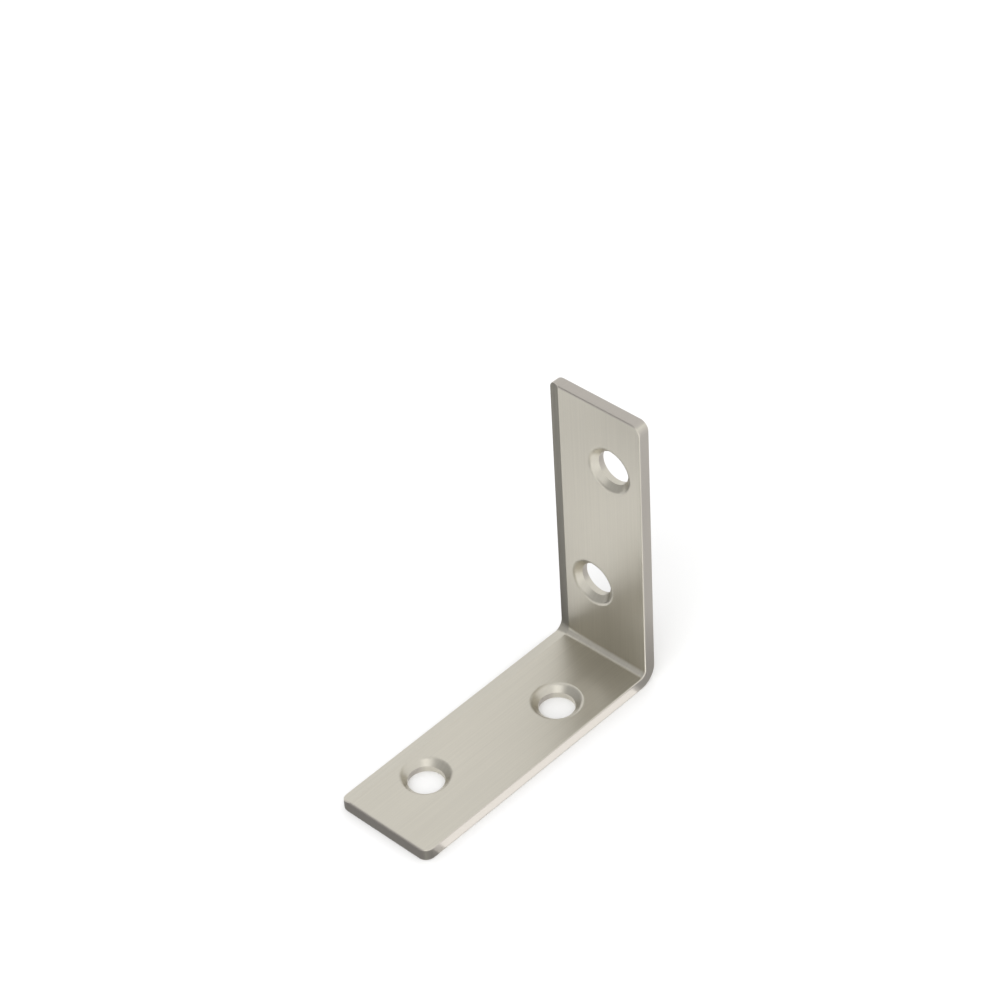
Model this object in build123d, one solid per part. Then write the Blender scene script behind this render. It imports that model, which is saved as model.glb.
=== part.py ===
from build123d import *
import os

# Angle bracket: one strip of stainless steel plate, folded square, with two countersunk screw
# holes in each leg. One leg lies flat along +X, the other stands along +Z, and the width runs
# along Y. The origin is the corner where the planes of the two outer faces meet, at mid width.
# All sizes are in millimetres.

# Strip and fold
lying_leg_length = 38.0
standing_leg_length = 38.0
strip_width = 13.4
plate_thickness = 1.6
inner_bend_radius = 0.8
leg_corner_radius = 1.2

# Screw holes: distances are measured from the outer face of the other leg
near_hole_distance = 11.2
far_hole_distance = 29.4
hole_side_offset = 1.6
standing_pair_side_shift = 0.5
standing_pair_rise = 0.3
bore_diameter = 4.3
countersink_diameter = 5.8
countersink_depth = 0.75
countersink_rim_radius = 0.6

# Edges: the shear draws the inner face down over a wide, shallow band along the -Y side
edge_roll_width = 1.6
edge_roll_drop = 0.5
cut_edge_radius = 0.18
bore_exit_radius = 0.15

outer_bend_radius = inner_bend_radius + plate_thickness
brim_height = plate_thickness
fold_swap = Axis((0, 0, 0), (1, 0, 1))


def folded_strip():
    """The L-shaped section with both bend radii, carried across the width of the strip."""
    outline = Polyline(
        (0, 0),
        (lying_leg_length, 0),
        (lying_leg_length, plate_thickness),
        (plate_thickness, plate_thickness),
        (plate_thickness, standing_leg_length),
        (0, standing_leg_length),
        close=True,
    )
    section = make_face(outline)
    heel = section.vertices().sort_by_distance((0, 0, 0))[0]
    section = fillet(heel, outer_bend_radius)
    throat = section.vertices().sort_by_distance((plate_thickness, plate_thickness, 0))[0]
    section = fillet(throat, inner_bend_radius)
    return extrude(Plane.XZ * section, strip_width / 2, both=True)


def round_leg_corners(plate):
    """Rounds the two corners at the free end of each leg."""
    lying = plate.edges().filter_by(Axis.Z).group_by(Axis.X)[-1]
    standing = plate.edges().filter_by(Axis.X).group_by(Axis.Z)[-1]
    return fillet(lying + standing, leg_corner_radius)


def screw_hole():
    """One hole of the lying leg as a solid of revolution: a bore under a conical seat.

    Its flat brims lie on the two faces of the plate, so the radii where the seat meets the inner
    face and the bore meets the outer face are fillets between a brim and the wall of the hole.
    """
    bore_radius = bore_diameter / 2
    seat_radius = countersink_diameter / 2
    brim_radius = seat_radius + countersink_rim_radius
    outline = Polyline(
        (0, -brim_height),
        (brim_radius, -brim_height),
        (brim_radius, 0),
        (bore_radius, 0),
        (bore_radius, plate_thickness - countersink_depth),
        (seat_radius, plate_thickness),
        (brim_radius, plate_thickness),
        (brim_radius, plate_thickness + brim_height),
        (0, plate_thickness + brim_height),
        close=True,
    )
    section = make_face(outline)
    mouth = section.vertices().sort_by_distance((seat_radius, plate_thickness, 0))[0]
    section = fillet(mouth, countersink_rim_radius)
    bore_exit = section.vertices().sort_by_distance((bore_radius, 0, 0))[0]
    section = fillet(bore_exit, bore_exit_radius)
    return revolve(Plane.XZ * section, Axis.Z)


def screw_holes():
    """The staggered pair in the lying leg, and the pair turned over onto the standing leg.

    The standing pair sits a little to one side of, and above, the exact turned-over place.
    """
    near = Pos(near_hole_distance, hole_side_offset, 0) * screw_hole()
    far = Pos(far_hole_distance, -hole_side_offset, 0) * screw_hole()
    pair = near + far
    standing_pair = pair.rotate(fold_swap, 180)
    return pair + Pos(0, standing_pair_side_shift, standing_pair_rise) * standing_pair


def roll_sheared_edge(strip):
    """The shallow roll along the -Y edge of the inner faces, from one free end to the other."""
    top = strip.faces().filter_by(Axis.Z).sort_by(Axis.Z)[1]
    sheared_edge = top.edges().filter_by(Axis.X).sort_by(Axis.Y)[0]
    return chamfer(sheared_edge, edge_roll_width, edge_roll_drop, reference=top)


def soften_cut_edges(plate):
    """A small radius on both edges of the sheared outline; each runs on round the whole strip."""
    outline = plate.edges().filter_by(Axis.X).group_by(Axis.Y)[-1]
    return fillet(outline, cut_edge_radius)


def angle_bracket():
    """The folded plate with its corners, holes and edges."""
    plate = round_leg_corners(roll_sheared_edge(folded_strip()))
    return soften_cut_edges(plate) - screw_holes()


os.makedirs("parts", exist_ok=True)
bracket = angle_bracket()
export_step(bracket, "parts/bracket_plate.step")
print("volume", round(bracket.volume, 1), "mm3, faces", len(bracket.faces()))
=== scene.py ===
import math
import bpy
from mathutils import Matrix, Vector


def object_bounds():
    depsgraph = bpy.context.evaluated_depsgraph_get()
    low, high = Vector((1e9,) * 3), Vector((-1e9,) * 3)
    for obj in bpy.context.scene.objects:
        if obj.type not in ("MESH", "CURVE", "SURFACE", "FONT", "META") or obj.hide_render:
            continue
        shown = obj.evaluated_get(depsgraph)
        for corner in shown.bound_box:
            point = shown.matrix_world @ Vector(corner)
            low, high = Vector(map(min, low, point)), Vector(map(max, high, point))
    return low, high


# An angle bracket of satin stainless steel, brushed along its strip and standing on a white
# sweep. Lengths are in metres, or in millimetres where they are multiplied by mm.

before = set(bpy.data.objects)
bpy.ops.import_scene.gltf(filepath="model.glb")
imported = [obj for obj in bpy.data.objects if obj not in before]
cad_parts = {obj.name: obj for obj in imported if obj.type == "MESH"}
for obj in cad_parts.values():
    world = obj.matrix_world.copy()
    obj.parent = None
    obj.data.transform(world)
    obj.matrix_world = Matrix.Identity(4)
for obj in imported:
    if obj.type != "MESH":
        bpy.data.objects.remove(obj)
cad_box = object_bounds()
mm = 0.001

# The bracket's own sizes, from its box: the far end of a leg and the +Y side of the strip
leg_end = cad_box[1][0] / mm
side_y = cad_box[1][1] / mm

# Camera: where it looks, from where, and how far it leans
aim_point = Vector((7.53, -9.15, 23.38)) * mm
view_azimuth = math.radians(45.24)
view_elevation = math.radians(40.29)
view_roll = math.radians(-3.69)
view_distance = 359.35 * mm
lens_mm = 115.7
sensor_mm = 36.0
nearest_seen = 0.01
furthest_seen = 20.0

# Studio: the floor lies just under the bracket, and the lamp lights only the floor
floor_white = 0.89
floor_reach = 1.5
floor_drop = 0.02 * mm
contact_gap = 0.3 * mm
fill_strength = 1.05
backdrop_strength = 1.0
key_place = (0.5, 0.3, 0.6)
key_aim = (0.015, 0.0, 0.0)
key_size = 0.6
key_power = 2.5

# Cards that only the metal sees. Those laid level are: name, x from and to, y from and to,
# height over the floor, all in mm, and the grey that the card reads at.
level_cards = (
    # The first card is painted shadow: a dark sheet at the near end of the lying leg that stands in
    # for the floor's contact shadow there, seen only in the metal
    ("end_contact_shadow_card", leg_end - 2.0, leg_end + 22.0, -30.0, 12.0, 0.02, 0.365),
    ("lying_side_card", 3.0, leg_end - 3.0, side_y + 0.1, 10.0, 0.06, 1.85),
    ("standing_side_card", -60.0, 3.0, side_y + 0.1, 70.0, 0.04, 0.84),
    ("foot_side_card", -7.0, 2.4, side_y + 0.1, 14.0, 0.08, 0.49),
)
left_card_grey = 0.16
left_card_height = 0.4
left_card_near_y = -7.2
left_card_far_y = -75.0
left_card_outer_x = -90.0
left_card_near_x = 4.0
left_card_far_x = 48.0
wall_card_grey = 0.5
wall_card_start = (-60.0, -400.0)
wall_card_end = (460.0, 60.0)
wall_card_low = -5.0
wall_card_high = 600.0
key_card_grey = 1.6
key_card_centre = Vector((500.0, 300.0, 600.0))
key_card_side = Vector((303.0, -505.0, 0.0))
key_card_slope = Vector((115.0, 191.0, -240.0))

# Steel: the brushed faces, and the duller, greyer sheared sides and ends
steel_color = (0.605, 0.577, 0.505, 1.0)
sheared_color = (0.485, 0.455, 0.415, 1.0)
face_roughness = 0.34
sheared_roughness = 0.42
brushing = 0.55
across_the_brushing = (0.03, 1.0, 0.03)
groove_strength = 0.06
groove_depth = 0.01 * mm

# Brushing lines and soft patches: noise sizes, and how far each one is drawn out along the strip
line_scale = 4000.0
line_detail = 3.0
line_stretch = 0.012
patch_scale = 150.0
patch_detail = 4.0
patch_stretch = 0.35
noise_low = 0.3
noise_high = 0.7
line_shade = 0.035
patch_shade = 0.03
uneven_roughness = 0.03

# Sheared metal starts and is full where a face turns this far towards the width, and this far
# along a leg
side_starts = 0.75
side_full = 0.95
end_starts = (leg_end - 0.3) * mm
end_full = (leg_end - 0.1) * mm


def add_camera():
    """A long lens on the side of the inner faces, above the standing leg, leaning a little.

    The way back from the aim is (cos e cos a, cos e sin a, sin e) for an elevation e and an
    azimuth a; the camera's right and up are then turned about it by the lean.
    """
    level = math.cos(view_elevation)
    back = Vector((
        level * math.cos(view_azimuth),
        level * math.sin(view_azimuth),
        math.sin(view_elevation),
    ))
    right = Vector((0.0, 0.0, 1.0)).cross(back).normalized()
    up = back.cross(right)
    leaned_right = right * math.cos(view_roll) + up * math.sin(view_roll)
    leaned_up = back.cross(leaned_right)
    turn = Matrix((leaned_right, leaned_up, back)).transposed().to_4x4()
    data = bpy.data.cameras.new("camera")
    data.lens = lens_mm
    data.sensor_width = sensor_mm
    data.clip_start = nearest_seen
    data.clip_end = furthest_seen
    camera = bpy.data.objects.new("camera", data)
    bpy.context.scene.collection.objects.link(camera)
    camera.matrix_world = Matrix.Translation(aim_point + back * view_distance) @ turn
    bpy.context.scene.camera = camera


def new_material(name):
    """An empty node material, with its nodes and its links."""
    material = bpy.data.materials.new(name)
    material.use_nodes = True
    nodes = material.node_tree.nodes
    nodes.clear()
    return material, nodes, material.node_tree.links


def grey(value):
    """An opaque colour with the same red, green and blue."""
    return (value, value, value, 1.0)


def math_node(nodes, links, operation, first, second=0.0):
    """The output of a Math node whose inputs are plain numbers or other nodes' outputs."""
    node = nodes.new("ShaderNodeMath")
    node.operation = operation
    for slot, value in zip(node.inputs, (first, second)):
        if isinstance(value, (int, float)):
            slot.default_value = value
        else:
            links.new(value, slot)
    return node.outputs[0]


def flat_quad(name, corners, material):
    """One flat four-cornered sheet of the studio, with its corners in metres."""
    mesh = bpy.data.meshes.new(name)
    mesh.from_pydata([tuple(corner) for corner in corners], [], [(0, 1, 2, 3)])
    mesh.materials.append(material)
    sheet = bpy.data.objects.new(name, mesh)
    bpy.context.scene.collection.objects.link(sheet)
    return sheet


def floor_material():
    """A matt white sweep that keeps the bracket's soft shadow.

    It is clear from below, and clear to a reflection that has left the metal by less than the
    contact gap, so that the underside reads as steel when it is looked at.
    """
    material, nodes, links = new_material("white_sweep")
    out = nodes.new("ShaderNodeOutputMaterial")
    matt = nodes.new("ShaderNodeBsdfDiffuse")
    matt.inputs["Color"].default_value = grey(floor_white)
    clear = nodes.new("ShaderNodeBsdfTransparent")
    rays = nodes.new("ShaderNodeLightPath")
    surface = nodes.new("ShaderNodeNewGeometry")
    mix = nodes.new("ShaderNodeMixShader")
    close = math_node(nodes, links, "LESS_THAN", rays.outputs["Ray Length"], contact_gap)
    close_glossy = math_node(nodes, links, "MULTIPLY", close, rays.outputs["Is Glossy Ray"])
    see_through = math_node(nodes, links, "MAXIMUM", close_glossy, surface.outputs["Backfacing"])
    links.new(see_through, mix.inputs[0])
    links.new(matt.outputs[0], mix.inputs[1])
    links.new(clear.outputs[0], mix.inputs[2])
    links.new(mix.outputs[0], out.inputs[0])
    return material


def add_floor():
    """The square sweep that the bracket stands on."""
    corners = [
        (-floor_reach, -floor_reach, -floor_drop),
        (floor_reach, -floor_reach, -floor_drop),
        (floor_reach, floor_reach, -floor_drop),
        (-floor_reach, floor_reach, -floor_drop),
    ]
    flat_quad("floor", corners, floor_material())


def card_material(name, value):
    """A plain card that reads at one even grey."""
    material, nodes, links = new_material(name)
    out = nodes.new("ShaderNodeOutputMaterial")
    glow = nodes.new("ShaderNodeEmission")
    glow.inputs["Color"].default_value = grey(value)
    links.new(glow.outputs[0], out.inputs[0])
    return material


def reflection_card(name, corners, value):
    """A studio card that shows only in the metal: it throws no shadow and isn't seen itself."""
    card = flat_quad(name, [Vector(corner) * mm for corner in corners], card_material(name, value))
    card.visible_camera = False
    card.visible_diffuse = False
    card.visible_shadow = False
    card.visible_transmission = False


def add_cards():
    """The greys that the bracket reflects.

    A wall stands front left and a dark card lies left of the fold. Before the lying leg
    lies a dark card that is painted shadow: it stands in for the floor's contact shadow
    there, and only the metal shows it. The +Y side of each leg has its own card, with a
    darker one by the foot of the standing leg, and a light one hangs by the lamp.
    """
    start_x, start_y = wall_card_start
    end_x, end_y = wall_card_end
    wall = [
        (start_x, start_y, wall_card_low),
        (end_x, end_y, wall_card_low),
        (end_x, end_y, wall_card_high),
        (start_x, start_y, wall_card_high),
    ]
    reflection_card("front_left_card", wall, wall_card_grey)
    left = [
        (left_card_outer_x, left_card_near_y, left_card_height),
        (left_card_near_x, left_card_near_y, left_card_height),
        (left_card_far_x, left_card_far_y, left_card_height),
        (left_card_outer_x, left_card_far_y, left_card_height),
    ]
    reflection_card("left_card", left, left_card_grey)
    for name, x_from, x_to, y_from, y_to, height, value in level_cards:
        level = [
            (x_from, y_from, height),
            (x_to, y_from, height),
            (x_to, y_to, height),
            (x_from, y_to, height),
        ]
        reflection_card(name, level, value)
    leaning = [
        key_card_centre + (key_card_side * along + key_card_slope * down) / 2
        for along, down in ((-1, -1), (1, -1), (1, 1), (-1, 1))
    ]
    reflection_card("key_card", leaning, key_card_grey)


def white_world():
    """White all round for the camera and for reflections, and a little more for the floor."""
    world = bpy.data.worlds.new("white_room")
    bpy.context.scene.world = world
    world.use_nodes = True
    nodes = world.node_tree.nodes
    links = world.node_tree.links
    nodes.clear()
    out = nodes.new("ShaderNodeOutputWorld")
    mix = nodes.new("ShaderNodeMixShader")
    fill = nodes.new("ShaderNodeBackground")
    fill.inputs["Color"].default_value = grey(1.0)
    fill.inputs["Strength"].default_value = fill_strength
    backdrop = nodes.new("ShaderNodeBackground")
    backdrop.inputs["Color"].default_value = grey(1.0)
    backdrop.inputs["Strength"].default_value = backdrop_strength
    rays = nodes.new("ShaderNodeLightPath").outputs
    seen = math_node(nodes, links, "MAXIMUM", rays["Is Camera Ray"], rays["Is Glossy Ray"])
    seen_through = math_node(nodes, links, "MAXIMUM", seen, rays["Is Transmission Ray"])
    links.new(seen_through, mix.inputs[0])
    links.new(fill.outputs[0], mix.inputs[1])
    links.new(backdrop.outputs[0], mix.inputs[2])
    links.new(mix.outputs[0], out.inputs[0])


def add_key_lamp():
    """A soft square lamp that gives the floor its shadow and doesn't show in the metal."""
    data = bpy.data.lights.new("key_softbox", "AREA")
    data.shape = "SQUARE"
    data.size = key_size
    data.energy = key_power
    lamp = bpy.data.objects.new("key_softbox", data)
    bpy.context.scene.collection.objects.link(lamp)
    lamp.location = key_place
    towards = Vector(key_aim) - Vector(key_place)
    lamp.rotation_euler = towards.to_track_quat("-Z", "Y").to_euler()
    lamp.visible_glossy = False


def brushed_steel_group():
    """Satin brushing that runs along a folded strip, and the duller, greyer look of sheared metal.

    The strip is unrolled by adding the height to the distance from the fold: that sum grows along
    the brushing on both legs, and the width of the strip grows across it. Noise drawn out about
    eighty times along the brushing makes the fine lines, and broad noise makes the soft patches.
    """
    group = bpy.data.node_groups.new("brushed_steel", "ShaderNodeTree")
    face = group.interface
    for name, kind, start in (
        ("Face Color", "NodeSocketColor", steel_color),
        ("Sheared Color", "NodeSocketColor", sheared_color),
        ("Face Roughness", "NodeSocketFloat", face_roughness),
        ("Sheared Roughness", "NodeSocketFloat", sheared_roughness),
        ("Line Scale", "NodeSocketFloat", line_scale),
        ("Patch Scale", "NodeSocketFloat", patch_scale),
    ):
        socket = face.new_socket(name, in_out="INPUT", socket_type=kind)
        socket.default_value = start
    for name, kind in (
        ("Color", "NodeSocketColor"),
        ("Roughness", "NodeSocketFloat"),
        ("Height", "NodeSocketFloat"),
    ):
        face.new_socket(name, in_out="OUTPUT", socket_type=kind)
    nodes = group.nodes
    links = group.links
    inputs = nodes.new("NodeGroupInput").outputs
    outputs = nodes.new("NodeGroupOutput").inputs

    def noise_node(vector, scale, detail):
        """Noise of one size, read where the vector points."""
        node = nodes.new("ShaderNodeTexNoise")
        node.inputs["Detail"].default_value = detail
        links.new(vector, node.inputs["Vector"])
        links.new(scale, node.inputs["Scale"])
        return node.outputs["Fac"]

    def spread(value, low_in, high_in, low_out, high_out):
        """A value carried from one range to another, and kept inside it."""
        node = nodes.new("ShaderNodeMapRange")
        node.inputs["From Min"].default_value = low_in
        node.inputs["From Max"].default_value = high_in
        node.inputs["To Min"].default_value = low_out
        node.inputs["To Max"].default_value = high_out
        links.new(value, node.inputs["Value"])
        return node.outputs[0]

    def drawn_out(along, width, stretch):
        """A place on the unrolled strip, with the length squeezed so that noise is drawn out."""
        node = nodes.new("ShaderNodeCombineXYZ")
        links.new(math_node(nodes, links, "MULTIPLY", along, stretch), node.inputs["X"])
        links.new(width, node.inputs["Y"])
        return node.outputs[0]

    place = nodes.new("ShaderNodeTexCoord")
    axes = nodes.new("ShaderNodeSeparateXYZ")
    links.new(place.outputs["Object"], axes.inputs[0])
    length = axes.outputs["X"]
    width = axes.outputs["Y"]
    height = axes.outputs["Z"]
    along = math_node(nodes, links, "ADD", length, height)
    lines = noise_node(drawn_out(along, width, line_stretch), inputs["Line Scale"], line_detail)
    patches = noise_node(drawn_out(along, width, patch_stretch), inputs["Patch Scale"], patch_detail)

    # Sheared metal: the long sides, which face along the width, and the free end of each leg
    surface = nodes.new("ShaderNodeNewGeometry")
    facing = nodes.new("ShaderNodeSeparateXYZ")
    links.new(surface.outputs["Normal"], facing.inputs[0])
    sideways = math_node(nodes, links, "ABSOLUTE", facing.outputs["Y"])
    long_side = spread(sideways, side_starts, side_full, 0.0, 1.0)
    furthest = math_node(nodes, links, "MAXIMUM", length, height)
    free_end = spread(furthest, end_starts, end_full, 0.0, 1.0)
    sheared = math_node(nodes, links, "MAXIMUM", long_side, free_end)

    # Colour: the face's or the sheared metal's, a little lighter or darker with lines and patches
    line_tone = spread(lines, noise_low, noise_high, 1.0 - line_shade, 1.0 + line_shade)
    patch_tone = spread(patches, noise_low, noise_high, -patch_shade, patch_shade)
    tint = nodes.new("ShaderNodeMix")
    tint.data_type = "RGBA"
    links.new(sheared, tint.inputs["Factor"])
    links.new(inputs["Face Color"], tint.inputs["A"])
    links.new(inputs["Sheared Color"], tint.inputs["B"])
    shaded = nodes.new("ShaderNodeVectorMath")
    shaded.operation = "SCALE"
    links.new(tint.outputs["Result"], shaded.inputs[0])
    links.new(math_node(nodes, links, "ADD", line_tone, patch_tone), shaded.inputs["Scale"])
    links.new(shaded.outputs[0], outputs["Color"])

    # Roughness: the same two metals, uneven by the same lines and patches
    base = nodes.new("ShaderNodeMix")
    links.new(sheared, base.inputs["Factor"])
    links.new(inputs["Face Roughness"], base.inputs["A"])
    links.new(inputs["Sheared Roughness"], base.inputs["B"])
    line_wear = spread(lines, noise_low, noise_high, -uneven_roughness, uneven_roughness)
    patch_wear = spread(patches, noise_low, noise_high, -uneven_roughness, uneven_roughness)
    uneven = math_node(nodes, links, "ADD", line_wear, patch_wear)
    links.new(math_node(nodes, links, "ADD", base.outputs["Result"], uneven), outputs["Roughness"])
    links.new(lines, outputs["Height"])
    return group


def steel_material():
    """Satin stainless steel, brushed along the strip."""
    material, nodes, links = new_material("satin_stainless")
    out = nodes.new("ShaderNodeOutputMaterial")
    steel = nodes.new("ShaderNodeBsdfPrincipled")
    finish = nodes.new("ShaderNodeGroup")
    finish.node_tree = brushed_steel_group()
    finish.inputs["Face Color"].default_value = steel_color
    finish.inputs["Sheared Color"].default_value = sheared_color
    finish.inputs["Face Roughness"].default_value = face_roughness
    finish.inputs["Sheared Roughness"].default_value = sheared_roughness
    finish.inputs["Line Scale"].default_value = line_scale
    finish.inputs["Patch Scale"].default_value = patch_scale
    links.new(finish.outputs["Color"], steel.inputs["Base Color"])
    links.new(finish.outputs["Roughness"], steel.inputs["Roughness"])
    steel.inputs["Metallic"].default_value = 1.0
    steel.inputs["Anisotropic"].default_value = brushing
    across = nodes.new("ShaderNodeCombineXYZ")
    for slot, part in zip(across.inputs, across_the_brushing):
        slot.default_value = part
    links.new(across.outputs[0], steel.inputs["Tangent"])
    grooves = nodes.new("ShaderNodeBump")
    grooves.inputs["Strength"].default_value = groove_strength
    grooves.inputs["Distance"].default_value = groove_depth
    links.new(finish.outputs["Height"], grooves.inputs["Height"])
    links.new(grooves.outputs[0], steel.inputs["Normal"])
    links.new(steel.outputs[0], out.inputs[0])
    return material


def finish_bracket():
    """The steel on every slot of the folded plate, whose shape is the frame's own."""
    steel = steel_material()
    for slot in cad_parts["bracket_plate"].material_slots:
        slot.material = steel


bpy.context.scene.view_settings.view_transform = "Standard"
add_camera()
white_world()
add_floor()
add_key_lamp()
add_cards()
finish_bracket()
